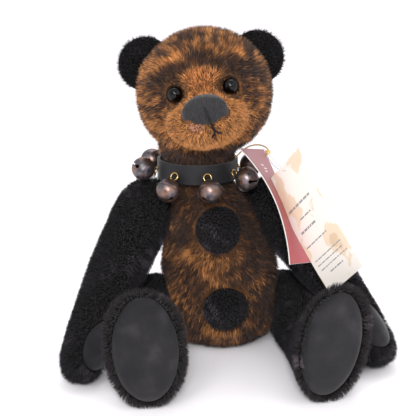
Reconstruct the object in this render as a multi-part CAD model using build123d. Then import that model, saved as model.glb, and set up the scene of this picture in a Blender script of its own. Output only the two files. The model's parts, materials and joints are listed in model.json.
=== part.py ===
from build123d import *
import os
from math import cos, pi, radians, sin, sqrt

# A jointed teddy bear, sitting. Millimetres. It faces -Y, +Z is up, and its own left is +X.
# The origin is the middle of the small flat that it sits on.

os.makedirs("parts", exist_ok=True)

# ---- driving dimensions ----
SKIN = 1.8                # thickness of the fur fabric with its short backing
HALF_GAP = 0.5            # half of the space between two faces that turn on each other
DISC_THICK = 3.0
WASHER_THICK = 1.0
WASHER_R = 7.0
BOLT_R = 2.5
BOLT_CLEAR = 0.05         # running clearance of a disc or skin on its bolt
BOLT_HEAD_R = 4.4
BOLT_HEAD_HIGH = 3.5
NUT_R = 4.6
NUT_HIGH = 4.0
BOLT_END = 12.5           # how far the thread reaches into the torso
POCKET_CLEAR = 0.5        # room in the stuffing round hardware that turns in it
NECK_DISC_R = 16.0
SHOULDER_DISC_R = 14.0
SHOULDER_INNER_R = 10.0   # the torso narrows here, so its own disc is smaller
HIP_DISC_R = 15.0
HIP_INNER_R = 14.0
PATCH_R = 15.0
PATCH_THICK = 1.3
EYE_R = 5.0
SIDES = {"right": -1, "left": 1}   # the bear's own right is -X
FAR = 400.0               # larger than the whole bear

# ---- torso ----
# height, centre x, centre y, half width, half depth
TORSO = [
    (0.0, 0.3, -1.0, 18.5, 16.0),
    (1.6, 0.3, -1.0, 25.5, 23.0),
    (6.5, 0.3, -1.0, 32.5, 30.0),
    (16.0, 0.3, -1.0, 38.0, 35.0),
    (30.0, 0.3, -1.0, 40.3, 37.5),
    (46.0, 0.3, -1.0, 40.6, 38.5),
    (62.0, -0.2, -1.5, 38.6, 36.5),
    (78.0, -3.0, -2.0, 35.2, 32.5),
    (92.0, -6.5, -2.5, 31.5, 28.5),
    (104.0, -10.5, -3.0, 26.5, 25.0),
    (115.0, -13.2, -3.0, 22.0, 22.0),
    (124.0, -14.0, -3.0, 20.3, 20.5),
    (132.0, -14.5, -3.0, 20.0, 20.0),
]
PATCHES = {"upper": (-3.7, 87.0), "lower": (0.7, 33.5)}   # x and height of the middle

# ---- joints: a point midway between the two faces, and the axis out of the torso ----
NECK_AT = (-14.0, -3.0, 127.0)
NECK_LEAN = 5.0           # the neck's axis leans towards the bear's right
SHOULDER_AT = {"right": (-36.6, -2.0, 90.5), "left": (26.0, -2.0, 89.3)}
SHOULDER_TILT = {"right": 15.0, "left": 22.0}    # how far the axis points up
ARM_FORWARD = {"right": 39.5, "left": 34.0}      # the arm's swing forward from straight down
HIP_AT = {"right": (-36.2, -2.0, 25.0), "left": (36.8, -2.0, 25.0)}
HIP_TILT = -4.0
HIP_SPLAY = 0.8
FLAT_R = {"shoulder": 28.0, "hip": 26.0}    # the torso's sides are pressed flat this far out
LIMB_FLAT_R = 36.0        # and the limbs' inner sides this far

# ---- limbs: distance along the limb, out from the joint face, towards the front or top,
#      half thickness, half width, lean in degrees ----
ARM = [
    (-21.0, 12.5, 0.0, 6.5, 6.5, 0),
    (-18.6, 12.5, 0.0, 12.2, 12.5, 0),
    (-12.0, 13.2, 0.0, 18.2, 17.8, 0),
    (0.0, 15.0, 0.0, 21.8, 20.8, 0),
    (16.0, 18.0, 0.0, 21.2, 20.8, 0),
    (34.0, 24.0, 0.0, 18.8, 20.2, 0),
    (56.0, 30.0, 0.0, 15.8, 18.6, 0),
    (80.0, 35.0, 0.6, 13.6, 17.3, 0),
    (102.0, 37.8, 1.2, 13.2, 17.2, 0),
    (116.0, 38.8, 1.2, 12.4, 16.0, 0),
    (125.5, 39.8, 1.0, 8.6, 11.0, 0),
    (129.0, 40.0, 1.0, 4.0, 5.0, 0),
]
LEG = [
    (-22.5, 11.0, 0.0, 5.0, 6.5, 0),
    (-19.8, 10.5, 0.0, 11.0, 13.0, 0),
    (-12.0, 10.0, 0.0, 17.0, 19.0, 0),
    (0.0, 10.0, 0.0, 20.0, 22.0, 0),
    (20.0, 11.0, -0.8, 19.5, 21.4, 0),
    (46.0, 14.0, -2.8, 16.5, 19.6, 0),
    (74.0, 15.6, -4.2, 15.8, 18.6, 0),
    (91.0, 16.2, 0.4, 18.0, 23.3, 2),
    (103.0, 16.8, 7.4, 20.8, 30.6, 4),
    (113.0, 17.2, 11.7, 22.9, 35.2, 6),
    (120.0, 17.4, 13.0, 23.2, 36.2, 7),
    (124.0, 17.4, 13.3, 22.3, 35.2, 7),
]
# the left foot is stuffed with its sole turned outwards; the share of the turn at each section
FOOT_TURN = {"right": 0.0, "left": 15.0}
TURN_FROM = 74.0
TURN_OVER = 39.0
PAD_THICK = 1.5
FOOT_RIM = 3.4
INSOLE_THICK = 2.0
PAW_PAD = (104.0, 20.0, 12.0)     # middle along the arm, half length, half width

# ---- head, in its own frame: -Y is the face, +Z the crown ----
HEAD_AT = (-10.8, -5.0, 175.3)
HEAD_ROLL = -8.6
HEAD_YAW = -5.0
SKULL = (45.0, 42.0, 43.0)
MUZZLE = (27.5, 24.0, 19.5)
MUZZLE_AT = (0.0, -36.0, -12.0)
NECK_R = 20.3
NECK_FLARE_R = 27.0
NECK_FLARE_HIGH = 15.0
EYE_AT = (18.0, -34.8, 7.6)
NOSE_AT = (0.0, -55.5, -3.2)
NOSE_HALF = (14.6, 5.0, 12.0)
NOSE_TILT = 18.0
MOUTH_THICK = 0.9
MOUTH_WIDE = 1.3
MOUTH_SLANT = 7.0         # the stitched line leans to the left as it falls
MOUTH_FORK = (62.0, -38.0)
EAR_BACK = 4.0
EAR_OUT = {-1: (43.5, 56.0), 1: (41.7, 65.0)}   # distance from the head's middle, angle from the crown
EAR_R = 18.5
EAR_DROP = 7.0            # how far the ear reaches below its circle's middle
EAR_DISH_R = 26.0
EAR_THICK = 5.0

# ---- collar, rings and bells ----
COLLAR_AT = (-15.5, -4.0, 124.3)
COLLAR_OUT_R = 27.5
COLLAR_THICK = 1.7
COLLAR_HIGH = 13.0
LAP_ANGLE = 211.0         # where the strap's end laps over itself, from the front
RING_R = 2.6
RING_LOW = 1.2            # the ring's middle below the strap's
RING_WIRE = 0.45
RING_STAND = 1.6          # the ring's middle in front of the strap
RING_LEAN = 28.0
LOOP_R = 1.5
LOOP_SUNK = 1.4           # how deep the loop's foot sits in the bell
LOOP_WIRE = 0.45
BELL_R = 7.9
BELL_WALL = 0.8
BELL_BAND_R = 8.5
PELLET_R = 1.8
# each bell's angle round the collar from the front, and how far it lies swung out at rest
BELLS = {1: (8.5, 52), 2: (53.5, 88), 3: (98.5, 115), 4: (143.5, 60),
         5: (188.5, 45), 6: (233.5, 120), 7: (278.5, 120), 8: (323.5, 48)}

# ---- tags ----
CARD_AT = (53.4, -73.7, 103.0)
CARD_LONG = (0.39, -0.53, -0.75)
CARD_ACROSS = (0.35, -0.67, 0.65)
CARD_SIZE = (42.0, 86.0, 0.6)
BOOKLET_AT = (33.0, -45.4, 106.6)
BOOKLET_LONG = (0.33, -0.51, -0.80)
BOOKLET_ACROSS = (0.67, 0.72, -0.18)
BOOKLET_SIZE = (27.0, 84.0, 1.4)
BOOKLET_HOLE = (9.9, 36.2)
CORD_R = 0.5
CORD_ROUTE = [(9.5, -11.0, 131.5), (13.5, -12.0, 136.5), (19.5, -13.5, 140.5), (26.0, -16.0, 141.5),
              (31.0, -20.0, 139.5), (30.2, -21.8, 135.9), (26.5, -19.2, 132.7)]


def unit(x, y, z):
    """The vector of length one along this one."""
    return Vector(x, y, z).normalized()


def oval(half_a, half_b):
    """A flat oval face whose outline starts on its +X side."""
    turns = [2 * pi * k / 12 for k in range(12)]
    outline = Spline([(half_a * cos(t), half_b * sin(t)) for t in turns], periodic=True)
    return make_face(outline)


def beyond(plane, distance):
    """The half space on the plane's positive side, past the distance."""
    block = Box(FAR, FAR, FAR, align=(Align.CENTER, Align.CENTER, Align.MIN))
    return plane.offset(distance).location * block


def before(plane, distance):
    """The half space on the plane's negative side, short of the distance."""
    block = Box(FAR, FAR, FAR, align=(Align.CENTER, Align.CENTER, Align.MAX))
    return plane.offset(distance).location * block


def drum(plane, radius, low, high):
    """A cylinder round the plane's normal between two heights."""
    rod = Cylinder(radius, high - low, align=(Align.CENTER, Align.CENTER, Align.MIN))
    return plane.offset(low).location * rod


def hexagon(plane, radius, low, high):
    """A hexagonal bolt head or nut round the plane's normal."""
    flat = extrude(RegularPolygon(radius, 6), high - low)
    return plane.offset(low).location * flat


def ball(half_x, half_y, half_z):
    """A solid ellipsoid."""
    return scale(Sphere(1.0), by=(half_x, half_y, half_z))


def grown(sections, grow):
    """The sections of a body whose whole surface lies further out by grow."""
    last = len(sections) - 1
    moved = []
    for k, section in enumerate(sections):
        shift = -grow if k == 0 else grow if k == last else 0.0
        moved.append((section[0] + shift,) + tuple(section[1:]))
    return moved


# ---- joint planes: the normal points out of the torso ----
def neck_plane():
    lean = radians(NECK_LEAN)
    return Plane(origin=NECK_AT, z_dir=(-sin(lean), 0, cos(lean)))


def shoulder_plane(name):
    tilt = radians(SHOULDER_TILT[name])
    return Plane(origin=SHOULDER_AT[name], z_dir=(SIDES[name] * cos(tilt), 0, sin(tilt)))


def hip_plane(name):
    tilt = radians(HIP_TILT)
    splay = radians(HIP_SPLAY)
    out = (SIDES[name] * cos(tilt) * cos(splay), cos(tilt) * sin(splay), sin(tilt))
    return Plane(origin=HIP_AT[name], z_dir=out)


def limb_frame(plane, along):
    """A frame on a joint: z runs down the limb, x points out of the torso."""
    return Plane(origin=plane.origin, x_dir=plane.z_dir, z_dir=along)


def arm_frame(name):
    plane = shoulder_plane(name)
    tilt = radians(SHOULDER_TILT[name])
    swing = radians(ARM_FORWARD[name])
    down = Vector(SIDES[name] * sin(tilt), 0, -cos(tilt))
    return limb_frame(plane, down * cos(swing) + Vector(0, -sin(swing), 0))


def leg_frame(name):
    plane = hip_plane(name)
    splay = radians(HIP_SPLAY)
    ahead = Vector(SIDES[name] * sin(splay), -cos(splay), 0)
    return limb_frame(plane, ahead)


# ---- soft bodies ----
def torso_body(grow=0.0):
    """The torso's solid, flat at the neck, shoulders and hips."""
    ovals = []
    for high, x, y, half_x, half_y in grown(TORSO, grow):
        ovals.append(Pos(x, y, high) * oval(half_x + grow, half_y + grow))
    body = loft(ovals)
    face = min(grow, 0.0) - HALF_GAP
    body = body - beyond(neck_plane(), face)
    for name in SIDES:
        body = body - drum(shoulder_plane(name), FLAT_R["shoulder"], face, FAR / 10)
        body = body - drum(hip_plane(name), FLAT_R["hip"], face, FAR / 10)
    return body


def limb_place(frame, side, section, turn=0.0):
    """Where one oval of a limb lies; turn swings the oval's plane sideways."""
    along, out, rise, _, _, lean = section
    share = min(max((along - TURN_FROM) / TURN_OVER, 0.0), 1.0)
    return frame.location * Location((out, rise * side, along)) * Rotation(lean * side, turn * share, 0)


def limb_body(frame, joint, sections, side, grow=0.0, turn=0.0):
    """A limb's solid, flat on the side that meets the torso."""
    ovals = []
    for section in grown(sections, grow):
        face = oval(section[3] + grow, section[4] + grow)
        ovals.append(limb_place(frame, side, section, turn) * face)
    return loft(ovals) - drum(joint, LIMB_FLAT_R, -FAR / 10, HALF_GAP - min(grow, 0.0))


def arm_body(name, grow=0.0):
    return limb_body(arm_frame(name), shoulder_plane(name), ARM, SIDES[name], grow)


def leg_body(name, grow=0.0):
    return limb_body(leg_frame(name), hip_plane(name), LEG, SIDES[name], grow, FOOT_TURN[name])


def head_place():
    return Location(HEAD_AT) * Rotation(0, HEAD_ROLL, 0) * Rotation(0, 0, HEAD_YAW)


def head_body(grow=0.0):
    """Skull, muzzle and neck in one, flat at the neck."""
    skull = ball(*[half + grow for half in SKULL])
    muzzle = Pos(*MUZZLE_AT) * ball(*[half + grow for half in MUZZLE])
    neck = Cone(NECK_R + grow, NECK_FLARE_R + grow, NECK_FLARE_HIGH,
                align=(Align.CENTER, Align.CENTER, Align.MIN))
    body = head_place() * (skull + muzzle) + neck_plane().location * neck
    return body - before(neck_plane(), HALF_GAP - min(grow, 0.0))


# ---- joint hardware: the disc faces lie one skin away from the gap ----
DISC_FACE = HALF_GAP + SKIN
DISC_BACK = DISC_FACE + DISC_THICK
WASHER_FACE = DISC_BACK + 2 * BOLT_CLEAR
WASHER_BACK = WASHER_FACE + WASHER_THICK
HEAD_BACK = WASHER_BACK + BOLT_HEAD_HIGH


def disc(plane, radius, outer):
    """One board disc, on the limb's side of the joint or on the torso's."""
    low = DISC_FACE if outer else -DISC_BACK
    return drum(plane, radius, low, low + DISC_THICK) - bolt_hole(plane)


def bolt_hole(plane):
    return drum(plane, BOLT_R + BOLT_CLEAR, -FAR / 10, FAR / 10)


def bolt(plane):
    return drum(plane, BOLT_R, -BOLT_END, WASHER_BACK) + hexagon(plane, BOLT_HEAD_R, WASHER_BACK, HEAD_BACK)


def nut(plane):
    body = hexagon(plane, NUT_R, -WASHER_BACK - NUT_HIGH, -WASHER_BACK)
    return body - drum(plane, BOLT_R, -BOLT_END, 0)


def washers(plane):
    far = drum(plane, WASHER_R, WASHER_FACE, WASHER_BACK) - drum(plane, BOLT_R, 0, HEAD_BACK)
    near = drum(plane, WASHER_R, -WASHER_BACK, -DISC_BACK) - drum(plane, BOLT_R, -BOLT_END, 0)
    return [far, near]


def outer_pocket(plane, radius):
    """The room that a limb's stuffing leaves for its disc, washer and bolt head."""
    return (drum(plane, radius, 0, DISC_BACK)
            + drum(plane, WASHER_R + POCKET_CLEAR, 0, HEAD_BACK + POCKET_CLEAR))


def inner_pocket(plane, radius):
    """The room that the torso's stuffing leaves for its disc, washer and nut."""
    return (drum(plane, radius, -DISC_BACK, 0)
            + drum(plane, WASHER_R, -BOLT_END, 0))


def joints():
    """Every bolted joint: its plane and the radius of the disc on the torso's side."""
    found = {"neck": (neck_plane(), NECK_DISC_R)}
    for name in SIDES:
        found["shoulder_" + name] = (shoulder_plane(name), SHOULDER_INNER_R)
        found["hip_" + name] = (hip_plane(name), HIP_INNER_R)
    return found


# ---- torso pieces ----
def torso_pieces():
    outer = torso_body()
    inner = torso_body(-SKIN)
    cover = outer - inner
    stuffing = inner
    for plane, radius in joints().values():
        cover = cover - bolt_hole(plane)
        stuffing = stuffing - inner_pocket(plane, radius)
    for name in SIDES:
        cover = cover - drum(shoulder_plane(name), SHOULDER_INNER_R + BOLT_CLEAR, -DISC_BACK, -DISC_FACE)
    pieces = {"torso_cover": cover, "torso_stuffing": stuffing}
    raised = torso_body(PATCH_THICK) - outer
    for name, (x, high) in PATCHES.items():
        post = Cylinder(PATCH_R, FAR, align=(Align.CENTER, Align.CENTER, Align.MIN))
        pieces["tummy_patch_" + name] = raised & (Pos(x, 0, high) * Rotation(90, 0, 0) * post)
    return pieces


def hardware_pieces():
    planes = joints()
    every = [plane for plane, _ in planes.values()]
    pieces = {
        "joint_bolts": [bolt(plane) for plane in every],
        "joint_nuts": [nut(plane) for plane in every],
        "joint_washers": [one for plane in every for one in washers(plane)],
        "neck_disc_lower": disc(*planes["neck"], False),
        "neck_disc_upper": disc(*planes["neck"], True),
        "shoulder_discs_inner": [disc(*planes["shoulder_" + name], False) for name in SIDES],
        "hip_discs_inner": [disc(*planes["hip_" + name], False) for name in SIDES],
    }
    for name in SIDES:
        pieces["shoulder_disc_outer_" + name] = disc(shoulder_plane(name), SHOULDER_DISC_R, True)
        pieces["hip_disc_outer_" + name] = disc(hip_plane(name), HIP_DISC_R, True)
    return pieces


# ---- head pieces ----
def eye(side):
    """A glass ball with a short wire shank behind it."""
    place = Pos(side * EYE_AT[0], EYE_AT[1], EYE_AT[2])
    shank = Cylinder(0.6, 8.0, align=(Align.CENTER, Align.CENTER, Align.MAX))
    return head_place() * place * (Sphere(EYE_R) + Pos(0, EYE_R * 0.9, 0) * Rotation(90, 0, 0) * shank)


def ear(side, head):
    """A half-moon cup sewn to the side of the crown, its hollow facing forwards."""
    dish = Sphere(EAR_DISH_R) - Sphere(EAR_DISH_R - EAR_THICK)
    post = Cylinder(EAR_R, FAR / 2, align=(Align.CENTER, Align.CENTER, Align.MAX))
    cup = Pos(0, -EAR_DISH_R + EAR_THICK + 2.5, 0) * dish
    cup = cup & (Rotation(90, 0, 0) * post)
    cup = cup - Pos(0, 0, -EAR_DROP) * Box(FAR, FAR, FAR, align=(Align.CENTER, Align.CENTER, Align.MAX))
    distance, angle = EAR_OUT[side]
    place = head_place() * Pos(0, EAR_BACK, 0) * Rotation(0, side * angle, 0) * Pos(0, 0, distance)
    return place * cup - head


def nose(head):
    pad = Pos(*NOSE_AT) * Rotation(NOSE_TILT, 0, 0) * ball(*NOSE_HALF)
    return head_place() * pad - head


def mouth(head, nose_solid):
    """A raised thread line from the nose down, ending in a small fork."""
    band = Pos(*MUZZLE_AT) * (ball(*[half + MOUTH_THICK for half in MUZZLE]) - ball(*MUZZLE))
    turned = Rotation(0, 0, MOUTH_SLANT)
    outline = turned * Pos(0, -15) * Rectangle(MOUTH_WIDE, 12)
    for turn in MOUTH_FORK:
        outline = outline + turned * Pos(0, -20.6) * Rotation(0, 0, turn) * Pos(0, -1.6) * Rectangle(MOUTH_WIDE, 4)
    front = Plane(origin=(0, -30, 0), x_dir=(1, 0, 0), z_dir=(0, -1, 0))
    return head_place() * (band & extrude(front.location * outline, 60)) - nose_solid


def head_pieces():
    outer = head_body()
    inner = head_body(-SKIN)
    plane, radius = joints()["neck"]
    eyes = {side: eye(side) for side in (-1, 1)}
    cover = outer - inner - bolt_hole(plane)
    stuffing = inner - outer_pocket(plane, radius)
    for side in (-1, 1):
        cover = cover - eyes[side]
        stuffing = stuffing - eyes[side]
    nose_solid = nose(outer)
    return {
        "head_cover": cover,
        "head_stuffing": stuffing,
        "eye_right": eyes[-1],
        "eye_left": eyes[1],
        "ear_right": ear(-1, outer),
        "ear_left": ear(1, outer),
        "nose_stitching": nose_solid,
        "mouth_stitching": mouth(outer, nose_solid),
    }


# ---- limb pieces ----
def arm_pieces(name):
    """Cover with a suede pad let into the inner side of the paw, and stuffing."""
    plane = shoulder_plane(name)
    outer = arm_body(name)
    inner = arm_body(name, -SKIN)
    middle, half_long, half_wide = PAW_PAD
    block = extrude(oval(half_wide, half_long), FAR / 2)
    aim = arm_frame(name).location * Location((ARM[8][1], 0, middle)) * Rotation(0, -90, 0)
    pad_zone = aim * Rotation(0, 0, 90) * block
    shell = outer - inner - bolt_hole(plane)
    return {
        "arm_cover_" + name: shell - pad_zone,
        "paw_pad_" + name: shell & pad_zone,
        "arm_stuffing_" + name: inner - outer_pocket(plane, SHOULDER_DISC_R),
    }


def leg_pieces(name):
    """Cover open at the sole, closed by a suede pad with a board insole behind it."""
    plane = hip_plane(name)
    side = SIDES[name]
    half_thick, half_high = LEG[-1][3:5]
    sole = limb_place(leg_frame(name), side, LEG[-1], FOOT_TURN[name])
    opening = oval(half_thick - FOOT_RIM, half_high - FOOT_RIM)
    pad = sole * Pos(0, 0, -PAD_THICK) * extrude(opening, PAD_THICK)
    insole = sole * Pos(0, 0, -PAD_THICK - INSOLE_THICK) * extrude(opening, INSOLE_THICK)
    plug = sole * Pos(0, 0, -PAD_THICK - INSOLE_THICK) * extrude(opening, PAD_THICK + INSOLE_THICK + SKIN)
    outer = leg_body(name)
    inner = leg_body(name, -SKIN)
    return {
        "leg_cover_" + name: outer - inner - plug - bolt_hole(plane),
        "foot_pad_" + name: pad,
        "foot_insole_" + name: insole,
        "leg_stuffing_" + name: inner - plug - outer_pocket(plane, HIP_DISC_R),
    }


# ---- collar, rings and bells ----
def round_collar(angle):
    """The outward and sideways directions at an angle from the front."""
    turn = radians(angle)
    return Vector(sin(turn), -cos(turn), 0), Vector(cos(turn), sin(turn), 0)


def strap():
    ring = Cylinder(COLLAR_OUT_R, COLLAR_HIGH) - Cylinder(COLLAR_OUT_R - COLLAR_THICK, COLLAR_HIGH)
    lap = Cylinder(COLLAR_OUT_R + COLLAR_THICK, COLLAR_HIGH) - Cylinder(COLLAR_OUT_R, COLLAR_HIGH)
    out, _ = round_collar(LAP_ANGLE)
    window = Box(FAR, 17.0, FAR, align=(Align.MIN, Align.CENTER, Align.CENTER))
    face = Plane(origin=(0, 0, 0), x_dir=out, z_dir=(0, 0, 1))
    return Pos(*COLLAR_AT) * (ring + (lap & (face.location * window)))


def stud():
    """The press stud's cap on the strap's lapped end."""
    out, _ = round_collar(LAP_ANGLE)
    seat = Plane(origin=Vector(*COLLAR_AT) + out * (COLLAR_OUT_R + COLLAR_THICK), z_dir=out)
    rim = drum(seat, 4.0, -0.3, 0.7)
    dome = drum(seat, 2.8, 0.7, 1.4)
    return rim + dome - strap()


def ring_middle(angle):
    out, _ = round_collar(angle)
    return Vector(*COLLAR_AT) + out * (COLLAR_OUT_R + RING_STAND) - Vector(0, 0, RING_LOW)


def ring_drop(angle):
    """From the ring's middle towards its lowest point."""
    out, _ = round_collar(angle)
    return out * sin(radians(RING_LEAN)) + Vector(0, 0, -cos(radians(RING_LEAN)))


def jump_ring(angle):
    _, across = round_collar(angle)
    place = Plane(origin=ring_middle(angle), x_dir=across, z_dir=across.cross(ring_drop(angle)))
    return place.location * Torus(RING_R, RING_WIRE)


def bell_hang(angle):
    """The point that a bell swings about: the ring's wire at its lowest."""
    return ring_middle(angle) + ring_drop(angle) * RING_R


def bell_axis(angle, swing):
    """From the pivot to the bell's middle."""
    out, _ = round_collar(angle)
    return out * sin(radians(swing)) + Vector(0, 0, -cos(radians(swing)))


LOOP_DROP = LOOP_R - 2 * LOOP_WIRE - 0.15    # the loop's middle below the ring's wire
BELL_DROP = LOOP_DROP + LOOP_R + BELL_R - LOOP_SUNK


def bell_shell(angle, swing):
    """A jingle bell: hollow ball with a band, a slot with round ends, and a wire loop on top."""
    _, across = round_collar(angle)
    down = bell_axis(angle, swing)
    hang = bell_hang(angle)
    body = Plane(origin=hang + down * BELL_DROP, x_dir=across, z_dir=down * -1)
    shell = Sphere(BELL_R) + Cylinder(BELL_BAND_R, 0.9)
    shell = shell - Sphere(BELL_R - BELL_WALL)
    slot = Pos(0, 0, -BELL_R) * Box(11.0, 1.3, 6.4)
    for end in (-1, 1):
        hole = Cylinder(1.35, BELL_R, align=(Align.CENTER, Align.CENTER, Align.MAX))
        slot = slot + Rotation(0, end * 43, 0) * Pos(0, 0, -BELL_R / 2) * hole
    loop = Plane(origin=hang + down * LOOP_DROP, x_dir=down, z_dir=across).location
    return body.location * (shell - slot) + loop * Torus(LOOP_R, LOOP_WIRE)


def pellet(angle, swing):
    """The loose ball, lying at the bottom of the bell."""
    middle = bell_hang(angle) + bell_axis(angle, swing) * BELL_DROP
    return Pos(*middle) * Pos(0, 0, PELLET_R - BELL_R + BELL_WALL + 0.3) * Sphere(PELLET_R)


def collar_pieces():
    pieces = {
        "collar_strap": strap(),
        "collar_stud": stud(),
        "bell_rings": [jump_ring(angle) for angle, _ in BELLS.values()],
    }
    for number, (angle, swing) in BELLS.items():
        pieces[f"bell_shell_{number}"] = bell_shell(angle, swing)
        pieces[f"bell_pellet_{number}"] = pellet(angle, swing)
    return pieces


# ---- tags ----
def tag_frame(middle, long, across):
    """A frame on a tag: x across it, y up its length, z out of its face."""
    down = unit(*long)
    side = Vector(*across) - down * Vector(*across).dot(down)
    return Plane(origin=middle, x_dir=side, z_dir=side.cross(down * -1))


def tag_plate(frame, size, hole):
    """A flat card with rounded corners and a hole near its top edge."""
    wide, long, thick = size
    outline = RectangleRounded(wide, long, 1.2) - Pos(*hole) * Circle(1.6)
    return frame.location * Pos(0, 0, -thick / 2) * extrude(outline, thick)


def corner_radii(route):
    """The largest arc that each corner's two runs allow."""
    radii = []
    for a, b, c in zip(route, route[1:], route[2:]):
        first = Vector(*b) - Vector(*a)
        second = Vector(*c) - Vector(*b)
        turn = radians(first.get_angle(second))
        radii.append(0.45 * min(first.length, second.length) * cos(turn / 2) / sin(turn / 2))
    return radii


def tube(route, radius):
    """A tube of straight runs joined by tangent arcs."""
    radii = corner_radii(route)
    print("tag cord radii", [round(r, 1) for r in radii])
    path = FilletPolyline(*route, radius=radii)
    ring = Plane(origin=route[0], z_dir=path % 0)
    body = sweep(ring.location * Circle(radius), path=path)
    print("tag cord volume", round(body.volume, 2), "against", round(pi * radius ** 2 * path.length, 2))
    return body


def tag_pieces():
    card = tag_frame(CARD_AT, CARD_LONG, CARD_ACROSS)
    booklet = tag_frame(BOOKLET_AT, BOOKLET_LONG, BOOKLET_ACROSS)
    return {
        "tag_card": tag_plate(card, CARD_SIZE, (0, CARD_SIZE[1] / 2 - 5)),
        "tag_booklet": tag_plate(booklet, BOOKLET_SIZE, BOOKLET_HOLE),
        "tag_cord": tube(CORD_ROUTE, CORD_R),
    }


def write(pieces):
    for name, solid in pieces.items():
        shapes = []
        for one in solid if isinstance(solid, list) else [solid]:
            shapes.extend(one.solids())
        whole = shapes[0] if len(shapes) == 1 else Compound(children=shapes)
        export_step(whole, f"parts/{name}.step")


def main():
    write(torso_pieces())
    write(hardware_pieces())
    write(head_pieces())
    for name in SIDES:
        write(arm_pieces(name))
        write(leg_pieces(name))
    write(collar_pieces())
    write(tag_pieces())


main()
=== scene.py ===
"""A disc-jointed bear in tipped mohair and black plush, with a collar of bells and two hanging tags."""
import json
import math
import bmesh
import bpy
import numpy as np
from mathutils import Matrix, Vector
from mathutils.bvhtree import BVHTree
from mathutils.kdtree import KDTree


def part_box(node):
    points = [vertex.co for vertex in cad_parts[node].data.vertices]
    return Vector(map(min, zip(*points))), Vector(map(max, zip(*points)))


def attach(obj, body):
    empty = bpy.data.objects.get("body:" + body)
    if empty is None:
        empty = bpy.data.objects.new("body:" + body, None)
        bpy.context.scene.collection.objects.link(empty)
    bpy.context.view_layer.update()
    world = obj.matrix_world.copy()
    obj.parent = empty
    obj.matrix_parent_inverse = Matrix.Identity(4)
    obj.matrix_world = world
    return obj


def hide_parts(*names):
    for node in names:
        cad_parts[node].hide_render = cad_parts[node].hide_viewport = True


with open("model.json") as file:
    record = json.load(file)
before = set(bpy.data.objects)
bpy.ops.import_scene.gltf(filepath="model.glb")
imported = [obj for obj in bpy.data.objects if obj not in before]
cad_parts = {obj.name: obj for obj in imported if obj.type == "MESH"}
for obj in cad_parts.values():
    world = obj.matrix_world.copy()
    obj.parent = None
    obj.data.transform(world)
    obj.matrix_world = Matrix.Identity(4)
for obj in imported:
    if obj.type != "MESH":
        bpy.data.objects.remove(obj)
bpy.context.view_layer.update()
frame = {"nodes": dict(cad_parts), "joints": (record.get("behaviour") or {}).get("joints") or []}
MM = 0.001
SIDES = ("right", "left")
DOWN = np.array([0.0, 0.0, -1.0])
AHEAD = np.array([0.0, -1.0, 0.0])

# ---- groups of CAD nodes ----
EYES = ["eye_right", "eye_left"]
PATCHES = ["tummy_patch_upper", "tummy_patch_lower"]
BELLS = [f"bell_shell_{k}" for k in range(1, 9)]
TAGS = ["tag_booklet", "tag_card"]
LIMB_COVERS = [f"{kind}_cover_{side}" for kind in ("arm", "leg") for side in SIDES]
DISCS = ["neck_disc_lower", "neck_disc_upper", "shoulder_discs_inner", "hip_discs_inner"]
DISCS += [f"{kind}_disc_outer_{side}" for kind in ("shoulder", "hip") for side in SIDES]

# ---- the pile of each cloth: hairs per square millimetre, their length and width in metres ----
MOHAIR = {"density": 2.5, "length": 0.0064, "width": 0.00036}
PLUSH = {"density": 2.6, "length": 0.0042, "width": 0.00032}
EAR_PLUSH = {"density": 3.4, "length": 0.0042, "width": 0.00034}
PATCH_PLUSH = {"density": 5.0, "length": 0.0034, "width": 0.00032}
SKIN_INSET = {"mohair": 0.0028, "plush": 0.0016}
SKIN_VOXEL = 0.002
SHORTEST_HAIR = 0.0008
FLOOR_GAP = 0.0004

# ---- the face, the nose and the paws ----
FACE_DIP = math.radians(26)        # how far the face looks below the line from the eyes to the nose
SKULL_BEHIND = 34.8 * MM           # from between the eyes back to the skull's middle
SKULL_BELOW = 7.6 * MM
NOSE_HALF = (13.2 * MM, 9.2 * MM)
NOSE_EDGE = 1.5 * MM               # no nose thread goes further back than this ahead of the nose's middle
NOSE_CROWN = 2.2 * MM
THREAD_R = 0.58 * MM
MOUTH_THREAD_R = 0.62 * MM
PAW_HALF = (12.0 * MM, 18.0 * MM)
ARM_SWELL = 4.6 * MM
SOLE_SWELL = 1.1 * MM
TOE_SWELL = 4.6 * MM

# ---- colours, linear ----
GINGER = np.array([0.54, 0.240, 0.078])
RUST = np.array([0.20, 0.078, 0.030])
BROWN = np.array([0.044, 0.025, 0.019])
DARK_TIP = np.array([0.014, 0.010, 0.010])
GREY_TIP = np.array([0.130, 0.092, 0.075])
BLACK = np.array([0.0105, 0.0092, 0.0115])
BLACK_TIP = np.array([0.0240, 0.0210, 0.0255])
RIM_BROWN = np.array([0.0210, 0.0170, 0.0185])
BARE_PINK = np.array([0.62, 0.33, 0.24])


# ---- reading the frame ----
def middle(name):
    """The middle of a CAD node's box."""
    low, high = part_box(name)
    return np.array((low + high) / 2)


def joint_place(name):
    found = next(j for j in frame["joints"] if j["name"] == name)
    return np.array(found["pos_m"])


def unit(v):
    v = np.asarray(v, float)
    return v / np.maximum(np.linalg.norm(v, axis=-1, keepdims=True), 1e-12)


def head_axes():
    """The head's left, back and up directions and its skull's middle, from the eyes and the nose."""
    right, left, nose = (middle(name) for name in (*EYES, "nose_stitching"))
    between = (right + left) / 2
    side = unit(left - right)
    to_nose = nose - between
    to_nose = unit(to_nose - side * to_nose.dot(side))
    above = np.cross(to_nose, side)
    front = to_nose * math.cos(FACE_DIP) + above * math.sin(FACE_DIP)
    up = np.cross(front, side)
    skull = between - front * SKULL_BEHIND - up * SKULL_BELOW
    return skull, side, front, up


def search_tree(*meshes):
    """A search tree over some meshes."""
    joined = bmesh.new()
    for mesh in meshes:
        joined.from_mesh(mesh)
    found = BVHTree.FromBMesh(joined)
    joined.free()
    return found


def cad_tree(*names):
    """A search tree over the surfaces of some CAD nodes."""
    return search_tree(*[frame["nodes"][name].data for name in names])


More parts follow.
